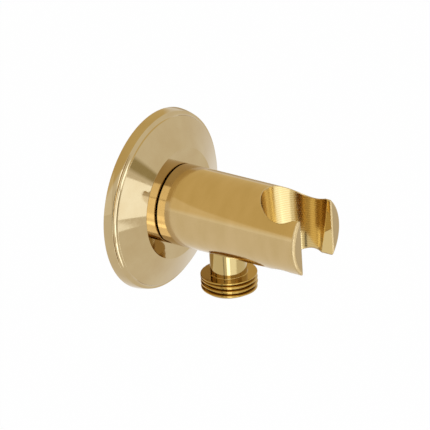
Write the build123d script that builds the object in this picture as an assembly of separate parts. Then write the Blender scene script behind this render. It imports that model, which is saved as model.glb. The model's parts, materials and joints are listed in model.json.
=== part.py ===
from build123d import *
import math
import os

# Hand shower holder with a water outlet, for a wall.
# Frame: the wall is the plane Y = 0, the body leaves it along -Y, and +Z is up.
# A depth is a distance from the wall along -Y. All sizes are in millimetres.

# Fits
running_clearance = 0.05
seal_clearance = 0.02
seat_clearance = 0.1
assembly_gap = 0.3

# Parallel pipe thread G 1/2, as turned grooves
thread_radius = 10.4775
thread_pitch = 1.814
thread_groove = 1.162
thread_crest = 0.6
thread_flank = 0.45
thread_lead = 0.8

# Wall flange: a band at the wall, a cove, a sloping face and a flat boss
flange_radius = 34.0
band_step = 0.7
band_height = 3.5
band_bulge = 0.12
cove_run = 1.6
face_height = 4.8
cove_sag = 0.45
boss_radius = 20.8
boss_break = 0.25
flange_height = 9.8
flange_wall = 2.2
land_width = 5.0
sleeve_wall = 3.2
sleeve_start = 3.0
gasket_width = 2.6
gasket_height = 1.5
gasket_margin = 1.1
flange_ring_section = 1.9
flange_ring_depth = 6.4

# Holder body: a bar with a neck behind it and a fork in front
body_radius = 15.0
body_length = 70.8
shadow_gap = 0.4
body_neck_radius = 11.6
neck_start = 0.5
rear_edge_round = 0.3
front_edge_round = 1.2
flange_hole_clearance = 0.25

# Conical seat for the hand shower, and the slot for its hose
seat_depth = 61.8
seat_top_radius = 12.6
seat_bottom_radius = 10.1
slot_width = 19.6
slot_mouth_chamfer = 0.4
tip_height = 10.5
cut_over = 2.0

# Wall nipple
nipple_thread_length = 15.0
spigot_radius = 8.55
spigot_length = 15.3
nipple_bore_radius = 4.0
hex_key_width = 10.0
hex_key_depth = 6.0
nipple_ring_section = 1.4
nipple_ring_depths = (3.2, 7.4)
lock_groove_depth = 12.8
lock_groove_root = 7.5
lock_groove_width = 2.0
edge_chamfer = 0.6

# Grub screw under the body
grub_radius = 2.5
grub_recess = 0.6
grub_key_width = 2.5
grub_key_depth = 2.4

# Water way in the body
water_bore_radius = 5.0
water_bore_over = 4.5
port_radius = 4.0

# Outlet nipple under the body
outlet_depth = 30.4
outlet_neck_radius = 6.8
outlet_neck_reach = 8.0
outlet_collar_height = 6.8
outlet_bore_radius = 4.0
outlet_seat_inset = 1.8
outlet_spigot_radius = 6.0
outlet_top_wall = 0.7
outlet_ring_section = 1.3
outlet_ring_rise = 2.7

# Check valve cartridge between the wall nipple and the outlet
cartridge_radius = 7.0
cartridge_length = 8.7
chamber_radius = 5.0
inlet_radius = 3.6
inlet_wall = 1.5
cartridge_ring_section = 1.1
cartridge_ring_offset = 3.6
poppet_radius = 4.2
poppet_thickness = 1.3
poppet_stem_radius = 1.0
poppet_boss_radius = 2.0
poppet_lip_radius = 2.5
poppet_lip_thickness = 0.5
seal_thickness = 0.8
seal_rest_gap = 0.05
guide_thickness = 1.8
guide_hub_radius = 3.2
guide_rim_width = 0.8
guide_spokes = 4
guide_spoke_width = 1.2
stem_overhang = 0.3
spring_wire_radius = 0.2
spring_radius = 2.4
spring_turns = 3.0

# Values that follow from the sizes above
band_radius = flange_radius - band_step
face_radius = band_radius - cove_run
body_start = flange_height + shadow_gap
flange_hole_radius = body_neck_radius + flange_hole_clearance
rear_bore_radius = spigot_radius + running_clearance
rear_bore_end = spigot_length + assembly_gap
cartridge_start = rear_bore_end + seat_clearance
cartridge_end = cartridge_start + cartridge_length
cartridge_bore_radius = cartridge_radius + running_clearance
cartridge_bore_end = cartridge_end + seat_clearance
water_bore_end = outlet_depth + water_bore_over
valve_seat = cartridge_start + inlet_wall
seal_start = valve_seat + seal_rest_gap
poppet_start = seal_start + seal_thickness
spring_start = poppet_start + poppet_thickness
guide_start = cartridge_end - guide_thickness
outlet_spigot_top = -cartridge_bore_radius - outlet_top_wall
outlet_seat_height = -body_radius + outlet_seat_inset
outlet_ring_height = outlet_seat_height + outlet_ring_rise
outlet_collar_top = -body_radius - outlet_neck_reach
outlet_collar_bottom = outlet_collar_top - outlet_collar_height

bar_axis = Axis((0, 0, 0), (0, -1, 0))
outlet_axis = Axis((0, -outlet_depth, 0), (0, 0, 1))
# In the turning plane, local X is the radius and local Y is the depth from the wall.
turning_plane = Plane(origin=(0, 0, 0), x_dir=(1, 0, 0), z_dir=(0, 0, -1))
# In the outlet plane, local X is the radius from the outlet's axis and local Y is the height.
outlet_plane = Plane(origin=(0, -outlet_depth, 0), x_dir=(1, 0, 0), z_dir=(0, -1, 0))


def turned(points):
    """Solid of a closed (radius, depth) outline turned about the bar's axis."""
    profile = make_face(Polyline(*points, close=True))
    return revolve(turning_plane * profile, bar_axis)


def turned_outlet(points):
    """Solid of a closed (radius, height) outline turned about the outlet's axis."""
    profile = make_face(Polyline(*points, close=True))
    return revolve(outlet_plane * profile, outlet_axis)


def tube(outer, inner, start, end):
    return turned([(inner, start), (outer, start), (outer, end), (inner, end)])


def rod(radius, start, end):
    return tube(radius, 0, start, end)


def ring(inner, outer, depth):
    """O-ring between two radii, on the bar's axis."""
    section = (outer - inner) / 2 - seal_clearance
    middle = (outer + inner) / 2
    profile = Pos(middle, depth) * Circle(section)
    return revolve(turning_plane * profile, bar_axis)


def along_bar(depth):
    """Place with its Z along the bar, away from the wall."""
    return Plane(origin=(0, -depth, 0), x_dir=(1, 0, 0), z_dir=(0, -1, 0))


def thread_outline(start, end):
    """(radius, distance) points of the turned grooves from start towards end."""
    way = math.copysign(1, end - start)
    length = abs(end - start)
    root = thread_radius - thread_groove
    ridges = max(1, int((length - thread_lead) / thread_pitch))
    points = []
    for i in range(ridges):
        crest = i * thread_pitch
        points.append((thread_radius, start + way * crest))
        points.append((thread_radius, start + way * (crest + thread_crest)))
        points.append((root, start + way * (crest + thread_crest + thread_flank)))
        if i < ridges - 1:
            points.append((root, start + way * (crest + thread_pitch - thread_flank)))
    points.append((root, end - way * edge_chamfer))
    points.append((root - edge_chamfer, end))
    return points


def face_height_at(radius):
    """Depth of the flange's sloping face at a radius."""
    slope = (flange_height - face_height) / (face_radius - boss_radius)
    return face_height + slope * (face_radius - radius)


def make_wall_flange():
    land_radius = flange_radius - land_width
    sleeve_radius = flange_hole_radius + sleeve_wall
    hollow_top = flange_height - flange_wall
    hollow_radius = boss_radius - flange_wall / 2
    band_middle = ((flange_radius + band_radius) / 2 + band_bulge, band_height / 2)
    cove_rise = face_height - band_height
    cove_chord = math.hypot(cove_run, cove_rise)
    cove_middle = (
        (band_radius + face_radius) / 2 - cove_sag * cove_rise / cove_chord,
        (band_height + face_height) / 2 - cove_sag * cove_run / cove_chord,
    )
    band = ThreePointArc((flange_radius, 0), band_middle, (band_radius, band_height))
    cove = ThreePointArc((band_radius, band_height), cove_middle, (face_radius, face_height))
    rest = Polyline(
        (face_radius, face_height),
        (boss_radius + boss_break, face_height_at(boss_radius + boss_break)),
        (boss_radius - boss_break, flange_height),
        (flange_hole_radius, flange_height),
        (flange_hole_radius, sleeve_start),
        (sleeve_radius, sleeve_start),
        (sleeve_radius, hollow_top),
        (hollow_radius, hollow_top),
        (land_radius, face_height_at(land_radius) - flange_wall),
        (land_radius, 0),
        (flange_radius, 0),
    )
    body = revolve(turning_plane * make_face([*band.edges(), *cove.edges(), *rest.edges()]), bar_axis)
    gasket_outer = flange_radius - gasket_margin + seat_clearance
    gasket_inner = flange_radius - gasket_margin - gasket_width - seat_clearance
    groove_half = flange_ring_section / 2 + seat_clearance
    body -= tube(gasket_outer, gasket_inner, -cut_over, gasket_height + seat_clearance)
    body -= tube(
        body_neck_radius + flange_ring_section,
        flange_hole_radius - seat_clearance,
        flange_ring_depth - groove_half,
        flange_ring_depth + groove_half,
    )
    return body


def make_flange_gasket():
    outer = flange_radius - gasket_margin
    return tube(outer, outer - gasket_width, 0, gasket_height)


def make_flange_o_ring():
    return ring(body_neck_radius, body_neck_radius + flange_ring_section, flange_ring_depth)


def make_bar():
    bar = turned([
        (0, neck_start),
        (body_neck_radius - edge_chamfer, neck_start),
        (body_neck_radius, neck_start + edge_chamfer),
        (body_neck_radius, body_start),
        (body_radius, body_start),
        (body_radius, body_length),
        (0, body_length),
    ])
    rims = bar.edges().filter_by(GeomType.CIRCLE).filter_by(lambda e: abs(e.radius - body_radius) < 1e-6)
    rims = rims.sort_by(Axis.Y)
    bar = fillet(rims[:1], front_edge_round)
    rims = bar.edges().filter_by(GeomType.CIRCLE).filter_by(lambda e: abs(e.radius - body_radius) < 1e-6)
    return fillet(rims.sort_by(Axis.Y)[-1:], rear_edge_round)


def make_fork_cut():
    """Conical seat and the slot in front of it, right through the bar, and flats on the fork's tips."""
    taper = (seat_top_radius - seat_bottom_radius) / (2 * body_radius)
    seat = Pos(0, -seat_depth, 0) * Cone(
        seat_bottom_radius - taper * cut_over,
        seat_top_radius + taper * cut_over,
        2 * (body_radius + cut_over),
    )
    half = slot_width / 2
    mouth = body_length - slot_mouth_chamfer
    far = body_length + cut_over
    flare = slot_mouth_chamfer + cut_over
    outline = Polyline(
        (-half, -seat_depth),
        (-half, -mouth),
        (-half - flare, -far),
        (half + flare, -far),
        (half, -mouth),
        (half, -seat_depth),
        close=True,
    )
    reach = body_radius + cut_over
    slot = extrude(make_face(outline), reach, both=True)
    tips = Box(2 * reach, far - seat_depth, reach - tip_height)
    return seat + slot + Pos(0, -(seat_depth + far) / 2, (tip_height + reach) / 2) * tips


def make_holder_body():
    body = make_bar() - make_fork_cut()
    body -= rod(rear_bore_radius, neck_start - cut_over, rear_bore_end)
    body -= rod(cartridge_bore_radius, rear_bore_end - cut_over, cartridge_bore_end)
    body -= rod(water_bore_radius, cartridge_bore_end - cut_over, water_bore_end)
    bottom = -body_radius - cut_over
    spigot_hole = outlet_spigot_radius + running_clearance
    spigot_hole_top = outlet_spigot_top + seat_clearance
    neck_hole = outlet_neck_radius + running_clearance
    body -= turned_outlet([
        (0, bottom),
        (neck_hole, bottom),
        (neck_hole, outlet_seat_height),
        (spigot_hole, outlet_seat_height),
        (spigot_hole, spigot_hole_top),
        (port_radius, spigot_hole_top),
        (port_radius, 0),
        (0, 0),
    ])
    grub_hole = Cylinder(grub_radius + running_clearance, body_radius + cut_over)
    body -= Pos(0, -lock_groove_depth, bottom / 2 - cut_over / 2) * grub_hole
    return body


def make_wall_nipple():
    end = -nipple_thread_length
    root = spigot_radius + running_clearance - nipple_ring_section
    outline = [(nipple_bore_radius, spigot_length), (nipple_bore_radius, end)]
    outline += list(reversed(thread_outline(0, end)))
    outline += [
        (spigot_radius, 0),
        (spigot_radius, spigot_length - edge_chamfer),
        (spigot_radius - edge_chamfer, spigot_length),
    ]
    nipple = turned(outline)
    groove_half = nipple_ring_section / 2 + seat_clearance
    for depth in nipple_ring_depths:
        nipple -= tube(spigot_radius + cut_over, root, depth - groove_half, depth + groove_half)
    half = lock_groove_width / 2
    nipple -= tube(
        spigot_radius + cut_over,
        lock_groove_root,
        lock_groove_depth - half,
        lock_groove_depth + half,
    )
    key = extrude(RegularPolygon(hex_key_width / 2, 6, major_radius=False), hex_key_depth + cut_over)
    return nipple - along_bar(spigot_length - hex_key_depth) * key


def make_nipple_o_ring(depth):
    return ring(rear_bore_radius - nipple_ring_section, rear_bore_radius, depth)


def make_grub_screw():
    bottom = -body_radius + grub_recess
    shoulder = -spigot_radius - assembly_gap
    tip = -lock_groove_root - seat_clearance
    dog_radius = lock_groove_width / 2 - seat_clearance
    screw = Cylinder(grub_radius, shoulder - bottom, align=(Align.CENTER, Align.CENTER, Align.MIN))
    dog = Cylinder(dog_radius, tip - bottom, align=(Align.CENTER, Align.CENTER, Align.MIN))
    key = extrude(RegularPolygon(grub_key_width / 2, 6, major_radius=False), grub_key_depth)
    return Pos(0, -lock_groove_depth, bottom) * (screw + dog - key)


def make_outlet_nipple():
    ring_root = outlet_spigot_radius + running_clearance - outlet_ring_section
    groove_half = outlet_ring_section / 2 + seat_clearance
    nipple = turned_outlet([
        (outlet_bore_radius, outlet_collar_bottom),
        *reversed(thread_outline(outlet_collar_top, outlet_collar_bottom)),
        (outlet_neck_radius, outlet_collar_top),
        (outlet_neck_radius, outlet_seat_height),
        (outlet_spigot_radius, outlet_seat_height),
        (outlet_spigot_radius, outlet_ring_height - groove_half),
        (ring_root, outlet_ring_height - groove_half),
        (ring_root, outlet_ring_height + groove_half),
        (outlet_spigot_radius, outlet_ring_height + groove_half),
        (outlet_spigot_radius, outlet_spigot_top),
        (outlet_bore_radius, outlet_spigot_top),
    ])
    return nipple


def make_outlet_o_ring():
    hole = outlet_spigot_radius + running_clearance
    section = outlet_ring_section / 2 - seal_clearance
    middle = (hole - outlet_ring_section / 2, outlet_ring_height)
    return revolve(outlet_plane * (Pos(*middle) * Circle(section)), outlet_axis)


def make_check_valve_housing():
    middle = cartridge_start + cartridge_ring_offset
    groove_half = cartridge_ring_section / 2 + seat_clearance
    housing = turned([
        (inlet_radius, cartridge_start),
        (cartridge_radius, cartridge_start),
        (cartridge_radius, cartridge_end),
        (chamber_radius, cartridge_end),
        (chamber_radius, valve_seat),
        (inlet_radius, valve_seat),
    ])
    root = cartridge_bore_radius - cartridge_ring_section
    return housing - tube(cartridge_radius + cut_over, root, middle - groove_half, middle + groove_half)


def make_check_valve_o_ring():
    depth = cartridge_start + cartridge_ring_offset
    return ring(cartridge_bore_radius - cartridge_ring_section, cartridge_bore_radius, depth)


def make_check_valve_poppet():
    lip_start = seal_start - poppet_lip_thickness
    stem_end = cartridge_end + stem_overhang
    return turned([
        (0, lip_start),
        (poppet_lip_radius, lip_start),
        (poppet_lip_radius, seal_start),
        (poppet_boss_radius, seal_start),
        (poppet_boss_radius, poppet_start),
        (poppet_radius, poppet_start),
        (poppet_radius, spring_start),
        (poppet_stem_radius, spring_start),
        (poppet_stem_radius, stem_end),
        (0, stem_end),
    ])


def make_check_valve_seal():
    return tube(poppet_radius, poppet_boss_radius, seal_start, poppet_start)


def make_check_valve_guide():
    rim_radius = chamber_radius - seal_clearance
    bore = poppet_stem_radius + running_clearance
    guide = tube(rim_radius, rim_radius - guide_rim_width, guide_start, cartridge_end)
    guide += tube(guide_hub_radius, bore, guide_start, cartridge_end)
    spoke_length = rim_radius - guide_rim_width / 2 - (guide_hub_radius + bore) / 2
    spoke = Box(spoke_length, guide_spoke_width, guide_thickness)
    reach = (guide_hub_radius + bore) / 2 + spoke_length / 2
    for place in PolarLocations(reach, guide_spokes):
        guide += along_bar(guide_start + guide_thickness / 2) * place * spoke
    return guide


def make_check_valve_spring():
    free_length = guide_start - spring_start - 2 * (spring_wire_radius + seal_clearance)
    path = Helix(free_length / spring_turns, free_length, spring_radius)
    wire = sweep((path ^ 0) * Circle(spring_wire_radius), path=path)
    return along_bar(spring_start + spring_wire_radius + seal_clearance) * wire


def build_parts():
    rear_depth, front_depth = nipple_ring_depths
    return {
        "wall_flange": make_wall_flange(),
        "flange_gasket": make_flange_gasket(),
        "flange_o_ring": make_flange_o_ring(),
        "holder_body": make_holder_body(),
        "wall_nipple": make_wall_nipple(),
        "nipple_o_ring_rear": make_nipple_o_ring(rear_depth),
        "nipple_o_ring_front": make_nipple_o_ring(front_depth),
        "grub_screw": make_grub_screw(),
        "outlet_nipple": make_outlet_nipple(),
        "outlet_o_ring": make_outlet_o_ring(),
        "check_valve_housing": make_check_valve_housing(),
        "check_valve_o_ring": make_check_valve_o_ring(),
        "check_valve_poppet": make_check_valve_poppet(),
        "check_valve_seal": make_check_valve_seal(),
        "check_valve_guide": make_check_valve_guide(),
        "check_valve_spring": make_check_valve_spring(),
    }


os.makedirs("parts", exist_ok=True)
for node, solid in build_parts().items():
    export_step(solid, f"parts/{node}.step")
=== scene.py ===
import json
import math
import bmesh
import bpy
from mathutils import Matrix, Vector


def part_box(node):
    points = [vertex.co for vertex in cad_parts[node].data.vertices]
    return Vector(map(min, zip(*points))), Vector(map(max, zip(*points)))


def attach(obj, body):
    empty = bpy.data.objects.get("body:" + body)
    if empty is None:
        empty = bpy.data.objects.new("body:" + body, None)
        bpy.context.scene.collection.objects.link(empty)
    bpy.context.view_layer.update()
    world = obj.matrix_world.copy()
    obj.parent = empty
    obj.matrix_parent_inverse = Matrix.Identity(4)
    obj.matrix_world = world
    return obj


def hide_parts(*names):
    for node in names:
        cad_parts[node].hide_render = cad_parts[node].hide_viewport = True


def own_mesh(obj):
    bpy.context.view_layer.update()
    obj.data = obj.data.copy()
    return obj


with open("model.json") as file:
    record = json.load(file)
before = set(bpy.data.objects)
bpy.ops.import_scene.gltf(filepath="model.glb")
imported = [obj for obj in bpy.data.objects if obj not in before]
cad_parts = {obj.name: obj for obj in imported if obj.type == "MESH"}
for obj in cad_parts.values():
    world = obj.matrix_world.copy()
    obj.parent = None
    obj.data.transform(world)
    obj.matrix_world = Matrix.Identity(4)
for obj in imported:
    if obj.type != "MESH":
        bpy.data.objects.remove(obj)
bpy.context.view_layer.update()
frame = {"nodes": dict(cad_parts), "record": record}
mm = 0.001
print("frame loaded:", len(frame["nodes"]), "nodes")


# hex colour as written in a paint program, to linear
def srgb(hexColour):
    parts = [int(hexColour[i:i + 2], 16) / 255 for i in (1, 3, 5)]
    return tuple(c / 12.92 if c <= 0.04045 else ((c + 0.055) / 1.055) ** 2.4 for c in parts) + (1.0,)


def grey(level):
    return (level, level, level, 1.0)


# a socket is linked to the input, and anything else becomes the input's value
def feed(tree, node, inputs):
    for name, given in inputs.items():
        if isinstance(given, bpy.types.NodeSocket):
            tree.links.new(given, node.inputs[name])
        else:
            node.inputs[name].default_value = given


def addNode(tree, kind, inputs=None, **settings):
    node = tree.nodes.new(kind)
    for name, setting in settings.items():
        setattr(node, name, setting)
    feed(tree, node, inputs or {})
    return node


def calc(tree, operation, *terms, **settings):
    inputs = dict(enumerate(terms))
    return addNode(tree, "ShaderNodeMath", inputs, operation=operation, **settings).outputs[0]


# the first where share is 0, the second where it is 1; the numbers are the Mix node's sockets
mixSockets = {"FLOAT": (2, 3, 0), "VECTOR": (4, 5, 1), "RGBA": (6, 7, 2)}


def blend(tree, dataType, share, first, second):
    firstIn, secondIn, out = mixSockets[dataType]
    inputs = {0: share, firstIn: first, secondIn: second}
    return addNode(tree, "ShaderNodeMix", inputs, data_type=dataType).outputs[out]


# colours, or plain levels, spread between two heights of a pattern
def ramp(tree, pattern, heights, ends):
    node = addNode(tree, "ShaderNodeValToRGB", {"Fac": pattern})
    for element, height, end in zip(node.color_ramp.elements, heights, ends):
        element.position = height
        element.color = end if isinstance(end, tuple) else grey(end)
    return node.outputs["Color"]


# coordinates for a pattern that repeats every so many millimetres along X, Y and Z
def scaled(tree, coords, sizesMm):
    scale = tuple(1 / (size * mm) for size in sizesMm)
    return addNode(tree, "ShaderNodeMapping", {"Vector": coords, "Scale": scale}).outputs[0]


def noise(tree, coords, sizesMm, detail):
    inputs = {"Vector": scaled(tree, coords, sizesMm), "Scale": 1.0, "Detail": detail}
    return addNode(tree, "ShaderNodeTexNoise", inputs).outputs["Fac"]


def newMaterial(name):
    material = bpy.data.materials.new(name)
    material.use_nodes = True
    tree = material.node_tree
    shader = tree.nodes["Principled BSDF"]
    coords = addNode(tree, "ShaderNodeTexCoord").outputs["Object"]
    return material, tree, shader, coords


# Polished and lacquered brass: a clear mirror with a warm pale gold tint, buffed a little unevenly
polish = {"colour": "#BFA97E", "deep": "#BAA276", "buffMm": (9, 9, 9), "buffDetail": 3.0,
          "tintHeights": (0.35, 0.65), "rough": (0.035, 0.075), "wipeMm": (1.2, 1.2, 1.2), "wipeDetail": 4.0,
          "roughHeights": (0.3, 0.75)}


def makePolishedBrass():
    material, tree, shader, coords = newMaterial("polishedBrass")
    buffing = noise(tree, coords, polish["buffMm"], polish["buffDetail"])
    wiping = noise(tree, coords, polish["wipeMm"], polish["wipeDetail"])
    tint = ramp(tree, buffing, polish["tintHeights"], (srgb(polish["deep"]), srgb(polish["colour"])))
    rough = ramp(tree, wiping, polish["roughHeights"], polish["rough"])
    feed(tree, shader, {"Metallic": 1.0, "Base Color": tint, "Roughness": rough})
    return material


# Turned brass, lacquered as it left the lathe: deeper gold than the polish; the threaded collar is tinted
# darker as painted shade of its grooves
lathe = {"colour": "#BBA26A", "thread": "#AD8A44", "threadTopMm": -22.8, "turnMm": (30, 30, 0.5),
         "turnDetail": 2.0, "rough": (0.056, 0.12), "roughHeights": (0.3, 0.7)}


def makeTurnedBrass():
    material, tree, shader, coords = newMaterial("turnedBrass")
    rings = noise(tree, coords, lathe["turnMm"], lathe["turnDetail"])
    height = addNode(tree, "ShaderNodeSeparateXYZ", {0: coords}).outputs["Z"]
    # painted shade: the collar below the thread's top is tinted darker, for the shade down in its grooves
    shadedCollar = calc(tree, "LESS_THAN", height, lathe["threadTopMm"] * mm)
    tint = blend(tree, "RGBA", shadedCollar, srgb(lathe["colour"]), srgb(lathe["thread"]))
    rough = ramp(tree, rings, lathe["roughHeights"], lathe["rough"])
    feed(tree, shader, {"Metallic": 1.0, "Base Color": tint, "Roughness": rough})
    return material


# Satin brass, brushed round the bar: soft reflections drawn out along it, and cuts left as the tool made
# them; the flat end faces get painted shade, a darker tint
satin = {"colour": "#C1A673", "light": "#C7AC7B", "end": "#B29A6E", "cut": "#D0B67C", "groove": "#C4A86C",
         "brushMm": (40, 0.4, 40), "cloudMm": (12, 5, 12), "detail": 2.0, "heights": (0.3, 0.7),
         "rough": (0.0935, 0.132), "drawn": 0.4, "toolMm": 0.85, "acrossMm": 60, "toolDepth": 0.2,
         "toolWave": {"Scale": 1.0, "Distortion": 0.8, "Detail": 1.0, "Detail Scale": 2.0},
         "markHeights": (0.2, 0.8), "cutRough": (0.135, 0.165), "millRough": 0.05, "roundRough": 0.5,
         "bump": 0.06, "bumpMm": 0.05, "skinMm": 14.7, "endMm": 0.45, "roundMm": 1.25, "forkMm": 45,
         "edgeMm": 0.6, "edgeSamples": 6, "wallFacing": 0.9985, "endFacing": 0.95}
waveRepeats = 10 / math.pi  # a Wave texture's bands in each unit of its coordinates


def makeSatinBrass():
    material, tree, shader, coords = newMaterial("satinBrass")
    s = satin
    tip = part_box("holder_body")[0].y
    # the real brushing is finer than a pixel, so its rings are drawn about three times as coarse
    rings = noise(tree, coords, s["brushMm"], s["detail"])
    cloud = noise(tree, coords, s["cloudMm"], s["detail"])
    # the tool's feed, drawn a little coarser too
    feedPlace = scaled(tree, coords, (s["acrossMm"], s["acrossMm"], s["toolMm"] * waveRepeats))
    tool = addNode(tree, "ShaderNodeTexWave", {"Vector": feedPlace, **s["toolWave"]},
                   bands_direction="Z").outputs["Fac"]
    # the slot's flat walls face sideways and are milled smooth
    form = addNode(tree, "ShaderNodeNewGeometry").outputs
    facing = addNode(tree, "ShaderNodeSeparateXYZ", {0: form["True Normal"]}).outputs
    milled = calc(tree, "GREATER_THAN", calc(tree, "ABSOLUTE", facing["X"]), s["wallFacing"])
    marks = calc(tree, "MAXIMUM", tool, milled)
    # distance from the bar's axis tells the brushed skin from the cuts
    across = addNode(tree, "ShaderNodeVectorMath", {0: coords, 1: (1, 0, 1)}, operation="MULTIPLY")
    reach = addNode(tree, "ShaderNodeVectorMath", {0: across.outputs[0]}, operation="LENGTH")
    outside = calc(tree, "GREATER_THAN", reach.outputs["Value"], s["skinMm"] * mm)
    along = addNode(tree, "ShaderNodeSeparateXYZ", {0: coords}).outputs["Y"]
    front = calc(tree, "LESS_THAN", along, tip + s["endMm"] * mm)
    skin = calc(tree, "MAXIMUM", outside, front)
    fork = calc(tree, "LESS_THAN", along, -s["forkMm"] * mm)
    ahead = calc(tree, "LESS_THAN", facing["Y"], -s["endFacing"])
    ends = calc(tree, "MINIMUM", ahead, front)
    # the rounded front edge is brushed by hand, and duller
    nearTip = calc(tree, "LESS_THAN", along, tip + s["roundMm"] * mm)
    rounded = calc(tree, "SUBTRACT", nearTip, ends)

    skinTint = ramp(tree, cloud, s["heights"], (srgb(s["colour"]), srgb(s["light"])))
    # painted shade: the flat end faces facing forward are tinted darker than the skin
    skinTint = blend(tree, "RGBA", ends, skinTint, srgb(s["end"]))
    cutTint = ramp(tree, marks, s["markHeights"], (srgb(s["groove"]), srgb(s["cut"])))
    tint = blend(tree, "RGBA", skin, cutTint, skinTint)

    skinRough = ramp(tree, rings, s["heights"], s["rough"])
    skinRough = blend(tree, "RGBA", rounded, skinRough, grey(s["roundRough"]))
    cutRough = ramp(tree, tool, s["heights"], s["cutRough"])
    cutRough = blend(tree, "RGBA", milled, cutRough, grey(s["millRough"]))
    rough = blend(tree, "RGBA", skin, cutRough, skinRough)

    # the fork's sharp rim is shaded as if it were broken
    edge = addNode(tree, "ShaderNodeBevel", {"Radius": s["edgeMm"] * mm}, samples=s["edgeSamples"]).outputs[0]
    shape = blend(tree, "VECTOR", fork, form["Normal"], edge)
    relief = blend(tree, "FLOAT", skin, calc(tree, "MULTIPLY", marks, s["toolDepth"]), rings)
    bump = addNode(tree, "ShaderNodeBump", {"Height": relief, "Normal": shape, "Strength": s["bump"],
                                            "Distance": s["bumpMm"] * mm}).outputs[0]
    aroundBar = addNode(tree, "ShaderNodeTangent", direction_type="RADIAL", axis="Y").outputs[0]
    aroundSeat = addNode(tree, "ShaderNodeTangent", direction_type="RADIAL", axis="Z").outputs[0]
    grain = blend(tree, "VECTOR", skin, aroundSeat, aroundBar)
    feed(tree, shader, {"Metallic": 1.0, "Anisotropic": s["drawn"], "Base Color": tint, "Roughness": rough,
                        "Normal": bump, "Tangent": grain})
    return material


# What the bar hides: colour, metallic, roughness, grain in millimetres and how much the grain stands out
inner = {"machinedBrass": ("#B99A5C", 1.0, 0.3, (30, 0.3, 30), 0.1),
         "stainlessSteel": ("#A9A8A4", 1.0, 0.32, (2, 2, 2), 0.05),
         "mouldedRubber": ("#1C1C1C", 0.0, 0.6, (0.5, 0.5, 0.5), 0.2),
         "foamedRubber": ("#34332F", 0.0, 0.85, (0.6, 0.6, 0.6), 0.6),
         "mouldedAcetal": ("#DAD9D2", 0.0, 0.42, (1.5, 1.5, 1.5), 0.08),
         "blueAcetal": ("#3F6EA8", 0.0, 0.42, (1.5, 1.5, 1.5), 0.08)}
innerGrain = {"detail": 3.0, "heights": (0.3, 0.7), "darkShare": 0.86, "roughShares": (0.85, 1.15),
              "bumpMm": 0.05}


def makeInner(name):
    colour, metallic, rough, grainMm, strength = inner[name]
    g = innerGrain
    material, tree, shader, coords = newMaterial(name)
    grain = noise(tree, coords, grainMm, g["detail"])
    dark = tuple(c * g["darkShare"] for c in srgb(colour)[:3]) + (1.0,)
    tint = ramp(tree, grain, g["heights"], (dark, srgb(colour)))
    shade = ramp(tree, grain, g["heights"], [rough * share for share in g["roughShares"]])
    bump = addNode(tree, "ShaderNodeBump", {"Height": grain, "Strength": strength,
                                            "Distance": g["bumpMm"] * mm}).outputs[0]
    feed(tree, shader, {"Metallic": metallic, "Base Color": tint, "Roughness": shade, "Normal": bump})
    return material


finishes = {"polished_brass": makePolishedBrass(), "satin_brass": makeSatinBrass(),
            "plain_brass": makeInner("machinedBrass"), "stainless_steel": makeInner("stainlessSteel"),
            "ring_rubber": makeInner("mouldedRubber"), "gasket_rubber": makeInner("foamedRubber"),
            "valve_plastic": makeInner("mouldedAcetal"), "poppet_plastic": makeInner("blueAcetal")}
turnedBrass = makeTurnedBrass()
for row in frame["record"]["subparts"]:
    slots = frame["nodes"][row["node"]].data.materials
    slots.clear()
    slots.append(finishes[row["material_slot"]])
print("finishes set:", len(finishes))


# Turned pieces: an outline of (radius, along the axis, rounding) corners in millimetres
def roundedOutline(corners, steps=5):
    points = []
    for i, (radius, along, rounding) in enumerate(corners):
        here = Vector((radius, along, 0))
        if rounding == 0:
            points.append(here)
            continue
        before = (Vector((*corners[i - 1][:2], 0)) - here).normalized()
        after = (Vector((*corners[(i + 1) % len(corners)][:2], 0)) - here).normalized()
        half = before.angle(after) / 2
        centre = here + (before + after).normalized() * rounding / math.sin(half)
        start = here + before * rounding / math.tan(half) - centre
        end = here + after * rounding / math.tan(half) - centre
        points += [centre + start.slerp(end, k / steps) * rounding for k in range(steps + 1)]
    return points


# a gentle bow between two corners, without its ends
def bowed(start, end, sag, steps=8):
    way = Vector((end[0] - start[0], end[1] - start[1], 0))
    out = Vector((way.y, -way.x, 0)).normalized() * sag
    points = []
    for k in range(1, steps):
        t = k / steps
        point = Vector((start[0], start[1], 0)) + way * t + out * 4 * t * (1 - t)
        points.append((point.x, point.y, 0))
    return points


def turnedMesh(name, corners, placeMm, axis, segments=288):
    points = roundedOutline(corners)
    turn = Vector((0, 0, 1)).rotation_difference(Vector(axis)).to_matrix()
    count = len(points)
    verts = []
    for k in range(segments):
        angle = 2 * math.pi * k / segments
        for point in points:
            spot = Vector((point.x * math.cos(angle), point.x * math.sin(angle), point.y))
            verts.append((Vector(placeMm) + turn @ spot) * mm)
    faces = []
    for k in range(segments):
        here, there = k * count, (k + 1) % segments * count
        for i in range(count):
            j = (i + 1) % count
            faces.append((here + i, here + j, there + j, there + i))
    mesh = bpy.data.meshes.new(name)
    mesh.from_pydata(verts, [], faces)
    shell = bmesh.new()
    shell.from_mesh(mesh)
    bmesh.ops.recalc_face_normals(shell, faces=shell.faces)
    shell.to_mesh(mesh)
    shell.free()
    return mesh


# large faces keep their own direction, so that the rounded edges alone bend the light
shading = {"sharpDegrees": 30, "faceWeight": 100}


def evaluatedMesh(thing):
    return bpy.data.meshes.new_from_object(thing.evaluated_get(bpy.context.evaluated_depsgraph_get()))


def addPiece(mesh, node, finish):
    mesh.shade_smooth()
    mesh.set_sharp_from_angle(angle=math.radians(shading["sharpDegrees"]))
    mesh.materials.clear()
    mesh.materials.append(finish)
    piece = bpy.data.objects.new(mesh.name, mesh)
    bpy.context.collection.objects.link(piece)
    even = piece.modifiers.new("evenNormals", "WEIGHTED_NORMAL")
    even.weight = shading["faceWeight"]
    even.keep_sharp = True
    piece.data = evaluatedMesh(piece)
    piece.data.name = piece.name
    piece.modifiers.clear()
    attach(piece, "holder")
    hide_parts(node)
    return piece


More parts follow.
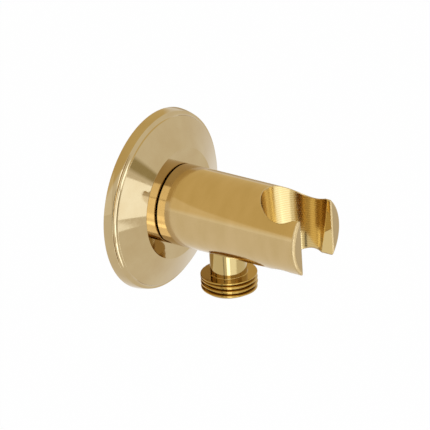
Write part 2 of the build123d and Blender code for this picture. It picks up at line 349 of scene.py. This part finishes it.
# Wall flange, in millimetres: radii from the bar's axis, heights from the wall
flange = {"bandStep": 0.7, "bandHeight": 3.5, "bandBulge": 0.12, "bandRound": 0.12, "coveRun": 1.6,
          "coveSag": 0.45, "faceHeight": 4.8, "faceRound": 0.15, "bossRadius": 20.8,
          "bossRound": 0.6, "holeRadius": 11.85, "holeRound": 0.2, "sleeveWall": 3.2, "sleeveStart": 3.0,
          "wall": 2.2, "hollowRound": 0.5, "landWidth": 5.0, "gasketInner": 30.2, "gasketOuter": 33.0,
          "gasketDepth": 1.6, "ringDepth": 6.4, "ringHalf": 1.05, "ringReach": 13.5}


def makeFlange():
    low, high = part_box("wall_flange")
    rim = high.x / mm
    height = -low.y / mm
    f = flange
    bandTop = (rim - f["bandStep"], f["bandHeight"])
    faceEdge = (bandTop[0] - f["coveRun"], f["faceHeight"])
    slope = (height - f["faceHeight"]) / (faceEdge[0] - f["bossRadius"])
    land = rim - f["landWidth"]
    landTop = f["faceHeight"] + slope * (faceEdge[0] - land) - f["wall"]
    sleeve = f["holeRadius"] + f["sleeveWall"]
    boss = (f["bossRadius"], height)
    front = [(rim, 0, 0), *bowed((rim, 0), bandTop, f["bandBulge"]), (*bandTop, f["bandRound"]),
             *bowed(bandTop, faceEdge, -f["coveSag"]), (*faceEdge, f["faceRound"]), (*boss, f["bossRound"]),
             (f["holeRadius"], height, f["holeRound"])]
    ringLow, ringHigh = f["ringDepth"] - f["ringHalf"], f["ringDepth"] + f["ringHalf"]
    hole = [(f["holeRadius"], ringHigh, 0), (f["ringReach"], ringHigh, 0), (f["ringReach"], ringLow, 0),
            (f["holeRadius"], ringLow, 0), (f["holeRadius"], f["sleeveStart"], 0),
            (sleeve, f["sleeveStart"], 0), (sleeve, height - f["wall"], f["hollowRound"]),
            (f["bossRadius"] - f["wall"] / 2, height - f["wall"], f["hollowRound"])]
    back = [(land, landTop, f["hollowRound"]), (land, 0, 0), (f["gasketInner"], 0, 0),
            (f["gasketInner"], f["gasketDepth"], 0), (f["gasketOuter"], f["gasketDepth"], 0),
            (f["gasketOuter"], 0, 0)]
    addPiece(turnedMesh("wallFlange", front + hole + back, (0, 0, 0), (0, -1, 0)), "wall_flange",
             finishes["polished_brass"])


# Threaded outlet, in millimetres and turns: a turned nipple, and a ridge wound round its collar
outlet = {"bore": 4.0, "boreRound": 0.2, "threadDepth": 1.162, "pitch": 1.814, "turns": 3.05,
          "fadeTurns": 0.25, "crestWidth": 0.5, "rootWidth": 1.5, "crestRound": 0.3, "crestSteps": 3,
          "turnSteps": 96, "skin": 0.01, "collarHeight": 6.8, "land": 0.6, "flank": 0.45, "landRound": 0.25,
          "chamfer": 0.6, "chamferRound": 0.1, "neck": 6.8, "neckRound": 0.3, "spigot": 6.0,
          "spigotHeight": 5.45, "ringRise": 2.7, "ringHalf": 0.75, "ringRoot": 4.75}


def makeThreadTree():
    tree = bpy.data.node_groups.new("pipeThread", "GeometryNodeTree")
    ports = tree.interface
    ports.new_socket("Geometry", in_out="INPUT", socket_type="NodeSocketGeometry")
    for name in ("Crest Radius", "Depth", "Crest Width", "Root Width", "Crest Round", "Pitch", "Turns",
                 "Fade Turns"):
        ports.new_socket(name, in_out="INPUT", socket_type="NodeSocketFloat")
    ports.new_socket("Place", in_out="INPUT", socket_type="NodeSocketVector")
    ports.new_socket("Material", in_out="INPUT", socket_type="NodeSocketMaterial")
    ports.new_socket("Geometry", in_out="OUTPUT", socket_type="NodeSocketGeometry")
    given = addNode(tree, "NodeGroupInput").outputs
    radius = calc(tree, "SUBTRACT", given["Crest Radius"], calc(tree, "MULTIPLY", given["Depth"], 0.5))
    height = calc(tree, "MULTIPLY", given["Turns"], given["Pitch"])
    helix = addNode(tree, "GeometryNodeCurveSpiral",
                    {"Rotations": given["Turns"], "Start Radius": radius, "End Radius": radius,
                     "Height": height, "Resolution": outlet["turnSteps"]})
    upright = addNode(tree, "GeometryNodeSetCurveNormal", {"Curve": helix.outputs[0]}, mode="Z_UP")
    # the ridge rises out of the collar and sinks back over part of a turn
    along = addNode(tree, "GeometryNodeSplineParameter").outputs["Factor"]
    nearEnd = calc(tree, "MINIMUM", along, calc(tree, "SUBTRACT", 1.0, along))
    turnsIn = calc(tree, "MULTIPLY", nearEnd, given["Turns"])
    fade = calc(tree, "DIVIDE", turnsIn, given["Fade Turns"], use_clamp=True)
    section = addNode(tree, "GeometryNodeCurvePrimitiveQuadrilateral",
                      {"Bottom Width": given["Root Width"], "Top Width": given["Crest Width"],
                       "Height": given["Depth"], "Offset": 0.0}, mode="TRAPEZOID")
    soft = addNode(tree, "GeometryNodeFilletCurve",
                   {"Curve": section.outputs[0], "Radius": given["Crest Round"],
                    "Count": outlet["crestSteps"]}, mode="POLY")
    # turned so that the section's narrow side faces outwards
    quarter = addNode(tree, "GeometryNodeTransform",
                      {"Geometry": soft.outputs[0], "Rotation": (0, 0, math.pi / 2)})
    ridge = addNode(tree, "GeometryNodeCurveToMesh",
                    {"Curve": upright.outputs[0], "Profile Curve": quarter.outputs[0], "Scale": fade,
                     "Fill Caps": True})
    placed = addNode(tree, "GeometryNodeTransform",
                     {"Geometry": ridge.outputs[0], "Translation": given["Place"]})
    joined = addNode(tree, "GeometryNodeJoinGeometry", {"Geometry": given["Geometry"]})
    feed(tree, joined, {"Geometry": placed.outputs[0]})
    real = addNode(tree, "GeometryNodeRealizeInstances", {"Geometry": joined.outputs[0]})
    painted = addNode(tree, "GeometryNodeSetMaterial",
                      {"Geometry": real.outputs[0], "Material": given["Material"]})
    addNode(tree, "NodeGroupOutput", {0: painted.outputs[0]})
    return tree


def makeOutlet():
    low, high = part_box("outlet_nipple")
    o = outlet
    crest = (high.x - low.x) / 2 / mm
    axisY = (low.y + high.y) / 2 / mm
    bottom, top = low.z / mm, high.z / mm
    root = crest - o["threadDepth"]
    collarTop = bottom + o["collarHeight"]
    seat = top - o["spigotHeight"]
    ring = seat + o["ringRise"]
    corners = [(o["bore"], bottom, o["boreRound"]), (root - o["chamfer"], bottom, o["chamferRound"]),
               (root, bottom + o["chamfer"], o["chamferRound"]),
               (root, collarTop - o["land"] - o["flank"], 0), (crest, collarTop - o["land"], o["landRound"]),
               (crest, collarTop, o["landRound"]), (o["neck"], collarTop, o["neckRound"]),
               (o["neck"], seat, o["chamferRound"]), (o["spigot"], seat, 0),
               (o["spigot"], ring - o["ringHalf"], 0), (o["ringRoot"], ring - o["ringHalf"], 0),
               (o["ringRoot"], ring + o["ringHalf"], 0), (o["spigot"], ring + o["ringHalf"], 0),
               (o["spigot"], top, o["boreRound"]), (o["bore"], top, o["boreRound"])]
    core = bpy.data.objects.new("outletCore", turnedMesh("outletCore", corners, (0, axisY, 0), (0, 0, 1)))
    bpy.context.collection.objects.link(core)
    tree = makeThreadTree()
    start = collarTop - o["land"] - o["turns"] * o["pitch"]
    sizes = {"Crest Radius": (crest - o["skin"]) * mm, "Depth": o["threadDepth"] * mm,
             "Crest Width": o["crestWidth"] * mm, "Root Width": o["rootWidth"] * mm,
             "Crest Round": o["crestRound"] * mm, "Pitch": o["pitch"] * mm, "Turns": o["turns"],
             "Fade Turns": o["fadeTurns"], "Place": (0, axisY * mm, start * mm), "Material": turnedBrass}
    wind = core.modifiers.new("pipeThread", "NODES")
    wind.node_group = tree
    for socket in tree.interface.items_tree:
        if socket.in_out == "INPUT" and socket.name in sizes:
            wind[socket.identifier] = sizes[socket.name]
    mesh = evaluatedMesh(core)
    bpy.data.objects.remove(core)
    mesh.name = "threadedOutlet"
    addPiece(mesh, "outlet_nipple", turnedBrass)


# Check valve spring: a copy of its mesh, in stainless steel, carried with the holder
spring = {"node": "check_valve_spring", "joint": "poppet_slide"}


def makeSpring():
    mesh = frame["nodes"][spring["node"]].data.copy()
    mesh.name = "valveSpring"
    piece = addPiece(mesh, spring["node"], finishes["stainless_steel"])
    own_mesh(piece)


makeFlange()
makeOutlet()
makeSpring()
print("pieces made: flange, outlet, spring")


# Stage: a plain pale floor well below the holder, white to the camera and in reflections
floorLook = {"heightMm": -300, "sizeM": 12, "colour": "#F4F3F0", "rough": 0.9, "white": 0.98}


def makeFloor():
    bpy.ops.mesh.primitive_plane_add(size=floorLook["sizeM"], location=(0, 0, floorLook["heightMm"] * mm))
    floor = bpy.context.object
    floor.name = "floor"
    material, tree, shader, _ = newMaterial("paleFloor")
    feed(tree, shader, {"Base Color": srgb(floorLook["colour"]), "Roughness": floorLook["rough"]})
    path = addNode(tree, "ShaderNodeLightPath").outputs
    seen = calc(tree, "MAXIMUM", path["Is Camera Ray"], path["Is Glossy Ray"])
    seen = calc(tree, "MAXIMUM", seen, path["Is Transmission Ray"])
    share = calc(tree, "MULTIPLY", seen, floorLook["white"])
    white = addNode(tree, "ShaderNodeEmission", {"Color": grey(1.0), "Strength": 1.0})
    mix = addNode(tree, "ShaderNodeMixShader", {0: share, 1: shader.outputs[0], 2: white.outputs[0]})
    feed(tree, tree.nodes["Material Output"], {"Surface": mix.outputs[0]})
    floor.data.materials.append(material)


# Soft cards that only reflections see: place and size in metres, and colour
cards = {"greyCard": ((0.42, 0.27, -0.115), (0.4, 0.4), "#C3B08C"),
         "upperCard": ((0.122, -0.484, 0.064), (0.085, 0.085), "#BDB494"),
         "darkStrip": ((-0.443, -0.078, 0.0), (0.1, 0.65), "#2A2416")}
cardEdge = {"heights": (0.0, 0.5), "cover": (0.0, 1.0)}


def makeCard(name):
    place, size, colour = cards[name]
    bpy.ops.mesh.primitive_plane_add(size=2)
    card = bpy.context.object
    card.name = name
    card.scale = (size[0] / 2, size[1] / 2, 1)
    card.location = place
    card.rotation_euler = (-Vector(place)).to_track_quat("Z", "Y").to_euler()
    material, tree, _, coords = newMaterial(name)
    fall = addNode(tree, "ShaderNodeTexGradient", {"Vector": coords}, gradient_type="SPHERICAL")
    soft = ramp(tree, fall.outputs["Fac"], cardEdge["heights"], cardEdge["cover"])
    clear = addNode(tree, "ShaderNodeBsdfTransparent")
    tone = addNode(tree, "ShaderNodeEmission", {"Color": srgb(colour), "Strength": 1.0})
    mix = addNode(tree, "ShaderNodeMixShader", {0: soft, 1: clear.outputs[0], 2: tone.outputs[0]})
    feed(tree, tree.nodes["Material Output"], {"Surface": mix.outputs[0]})
    card.data.materials.append(material)
    card.visible_camera = card.visible_diffuse = card.visible_shadow = False


# Room: white, with a warm ceiling that comes lower behind the holder
room = {"level": 0.8, "ceiling": "#F0DFB0", "ceilingAxis": (0, 1.2, 1), "ceilingHeights": (0.68, 0.84)}


def makeRoom():
    world = bpy.data.worlds.new("studio")
    bpy.context.scene.world = world
    world.use_nodes = True
    tree = world.node_tree
    tree.nodes.clear()
    way = addNode(tree, "ShaderNodeTexCoord").outputs["Generated"]
    rise = addNode(tree, "ShaderNodeVectorMath", {0: way, 1: room["ceilingAxis"]}, operation="DOT_PRODUCT")
    mirrored = ramp(tree, rise.outputs["Value"], room["ceilingHeights"], (grey(1.0), srgb(room["ceiling"])))
    path = addNode(tree, "ShaderNodeLightPath").outputs
    lit = blend(tree, "RGBA", path["Is Glossy Ray"], grey(room["level"]), mirrored)
    seen = calc(tree, "MAXIMUM", path["Is Camera Ray"], path["Is Transmission Ray"])
    shown = blend(tree, "RGBA", seen, lit, grey(1.0))
    sky = addNode(tree, "ShaderNodeBackground", {"Color": shown, "Strength": 1.0})
    addNode(tree, "ShaderNodeOutputWorld", {"Surface": sky.outputs[0]})


# Soft boxes, and a white card lit at the wall: place, aim and size in metres, and watts
daylight = "#C8DCFF"
lamps = {"frontLamp": ((-0.08, -0.62, -0.085), (0, -0.02, 0), (0.62, 0.23), 0.58),
         "lowLamp": ((-0.27, -0.46, -0.22), (0, -0.02, 0), (0.64, 0.12), 0.25),
         "sideLamp": ((-0.5, -0.2, 0.45), (0, -0.02, 0), (0.3, 0.3), 0.5),
         "fillLamp": ((-0.25, -0.2, -0.09), (0, -0.02, -0.09), (0.1, 0.44), 0.4),
         "kneeLamp": ((-0.13, -0.19, -0.25), (0, -0.02, 0), (0.16, 0.16), 0.2),
         "highLamp": ((-0.21, -0.22, 0.24), (0, -0.02, 0), (0.16, 0.2), 0.22),
         "wallCard": ((-0.167, 0.003, 0.018), (-0.167, -1, 0.018), (0.266, 0.024), 0.005)}


def makeLamp(name):
    place, aim, size, watts = lamps[name]
    lamp = bpy.data.lights.new(name, "AREA")
    lamp.shape = "RECTANGLE"
    lamp.size, lamp.size_y = size
    lamp.energy = watts
    lamp.color = srgb(daylight)[:3]
    box = bpy.data.objects.new(name, lamp)
    bpy.context.collection.objects.link(box)
    turn = (Vector(aim) - Vector(place)).to_track_quat("-Z", "Y")
    box.matrix_world = Matrix.Translation(place) @ turn.to_matrix().to_4x4()
    box.visible_camera = False


# Camera at the photograph's angle, from a long way off, as its outlines hardly converge
view = {"azimuth": -53.92, "elevation": 25.36, "roll": -3.33, "pxPerMm": 2.744, "distanceMm": 3331,
        "aimMm": (0, -35, -5), "aimPx": (236.68, 229.76), "framePx": 430, "sensorMm": 36, "clipM": 50}


def makeCamera():
    a, e, r = (math.radians(view[key]) for key in ("azimuth", "elevation", "roll"))
    back = Vector((math.sin(a) * math.cos(e), -math.cos(a) * math.cos(e), math.sin(e)))
    level = Vector((0, 0, 1)).cross(back).normalized()
    upright = back.cross(level)
    right = math.cos(r) * level + math.sin(r) * upright
    up = -math.sin(r) * level + math.cos(r) * upright
    middle = view["framePx"] / 2
    sideMm = (middle - view["aimPx"][0]) / view["pxPerMm"]
    riseMm = (view["aimPx"][1] - middle) / view["pxPerMm"]
    place = (Vector(view["aimMm"]) + back * view["distanceMm"] + right * sideMm + up * riseMm) * mm
    data = bpy.data.cameras.new("camera")
    data.sensor_width = view["sensorMm"]
    data.lens = view["pxPerMm"] * view["distanceMm"] / view["framePx"] * view["sensorMm"]
    data.clip_end = view["clipM"]
    camera = bpy.data.objects.new("camera", data)
    bpy.context.collection.objects.link(camera)
    camera.matrix_world = Matrix.Translation(place) @ Matrix((right, up, back)).transposed().to_4x4()
    bpy.context.scene.camera = camera


makeFloor()
for name in cards:
    makeCard(name)
makeRoom()
for name in lamps:
    makeLamp(name)
makeCamera()
bpy.context.scene.view_settings.view_transform = "Standard"
print("stage, light and camera set")
